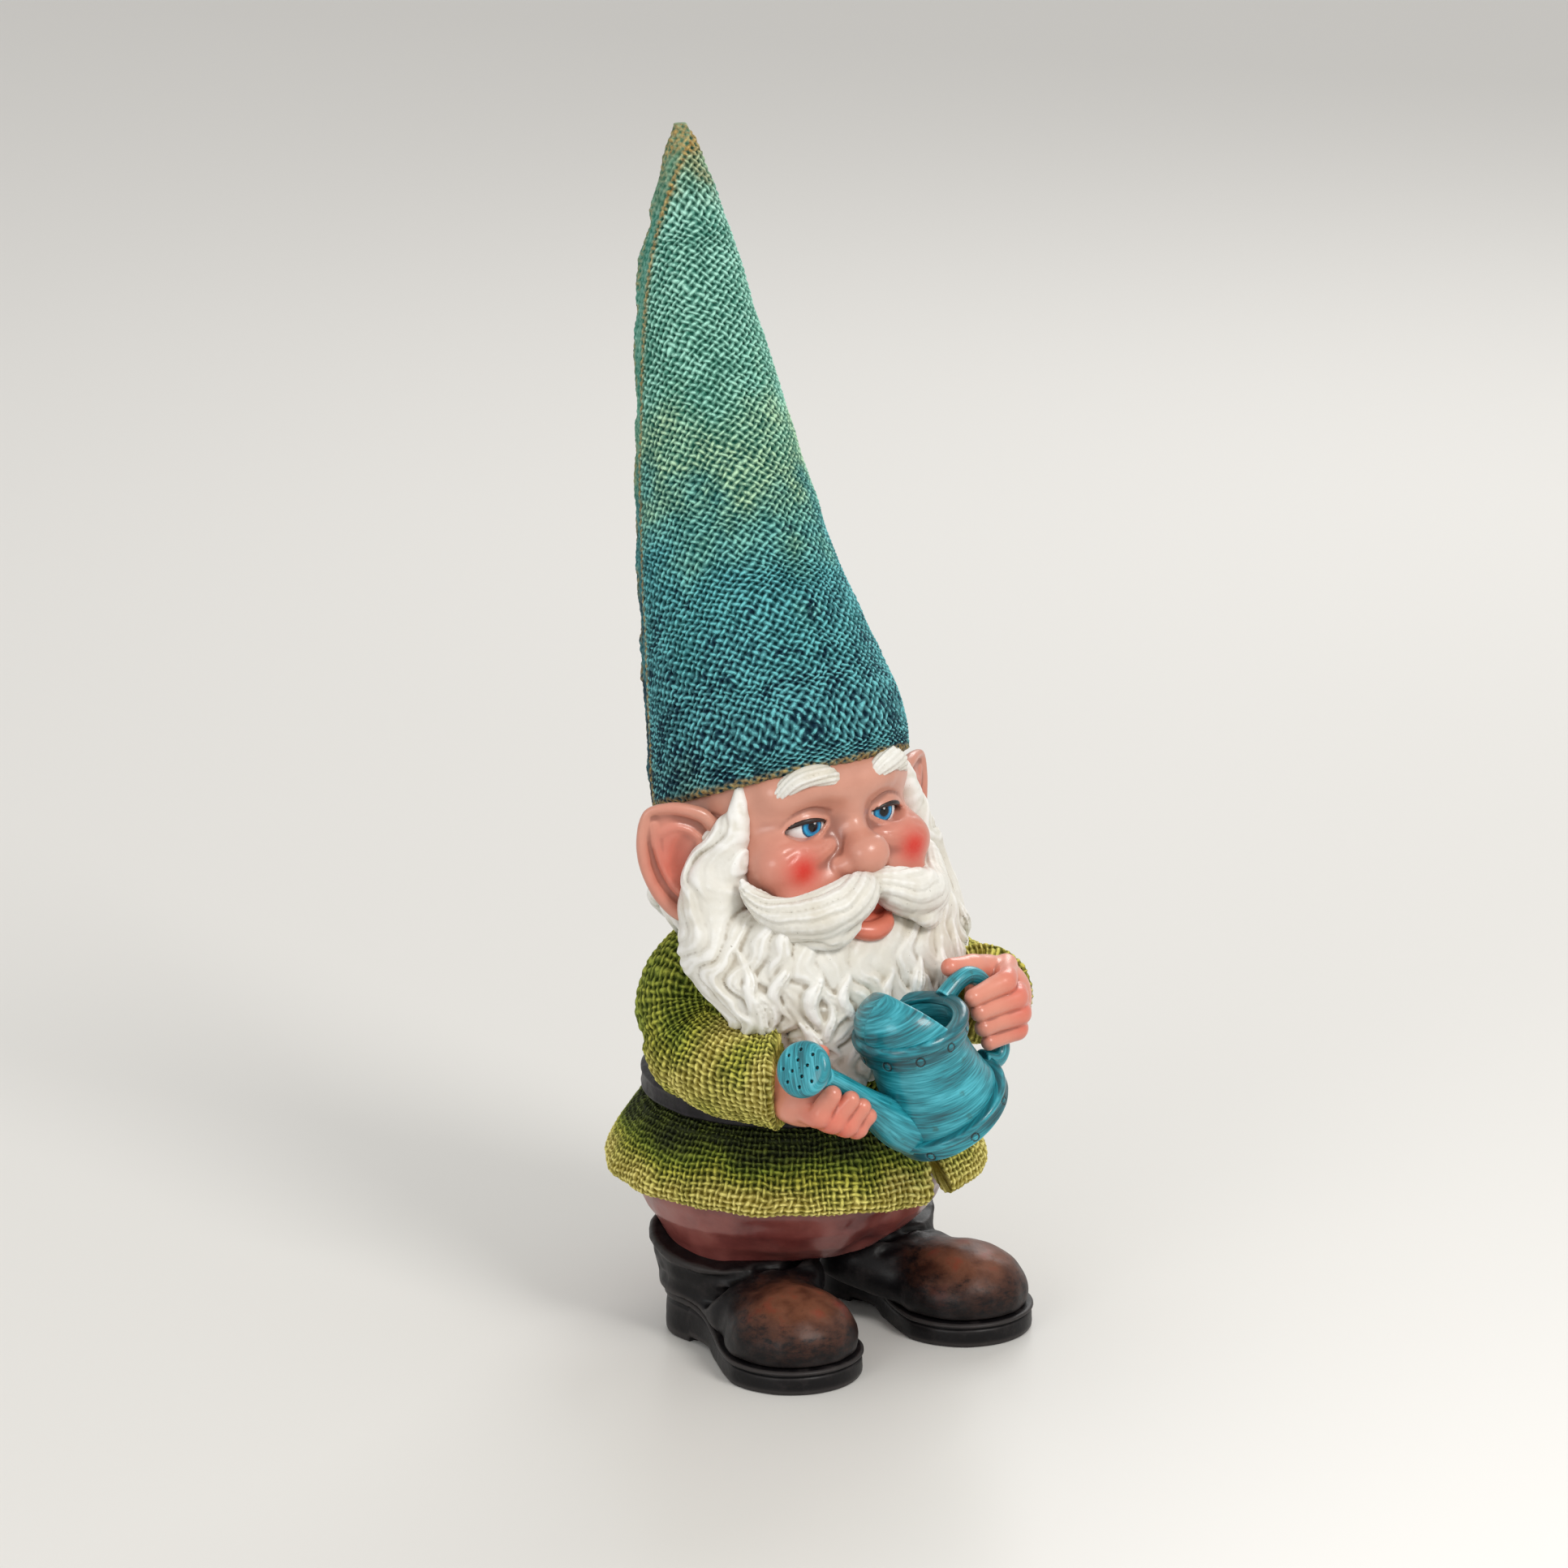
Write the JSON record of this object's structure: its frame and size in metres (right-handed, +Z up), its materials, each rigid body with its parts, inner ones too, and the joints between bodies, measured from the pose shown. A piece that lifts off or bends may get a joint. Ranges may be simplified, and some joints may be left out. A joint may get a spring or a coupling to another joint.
{
  "type": "garden gnome",
  "caption": "Bearded garden gnome ornament in a tall pointed hat, jacket and boots, holding a small watering can with both hands.",
  "frame": {"origin": "centre of the figure's bounding box, on the ground under the boots", "axes": "+Z up, the gnome looks along -Y, its own left hand is on the +X side"},
  "size_m": [0.136, 0.1654, 0.4071],
  "materials": {
    "hat": "matte",
    "skin": "satin",
    "eye": "gloss",
    "beard": "satin",
    "jacket": "matte",
    "belt": "satin",
    "trousers": "gloss",
    "boot": "satin",
    "sole": "satin",
    "can": "gloss"
  },
  "bodies": {
    "root": {"hat": "hat", "head": "skin", "right_ear": "skin", "left_ear": "skin", "lower_lip": "skin", "right_hand": "skin", "left_hand": "skin", "right_eye": "eye", "left_eye": "eye", "right_brow": "beard", "left_brow": "beard", "moustache": "beard", "beard": "beard", "back_hair": "beard", "jacket_torso": "jacket", "jacket_skirt": "jacket", "right_sleeve": "jacket", "left_sleeve": "jacket", "belt": "belt", "trousers": "trousers", "right_boot": "boot", "left_boot": "boot", "right_sole": "sole", "left_sole": "sole", "can_body": "can", "can_cover": "can", "can_top_band": "can", "can_base_band": "can", "can_handle": "can", "can_spout": "can", "can_rose": "can"}
  },
  "joints": []
}
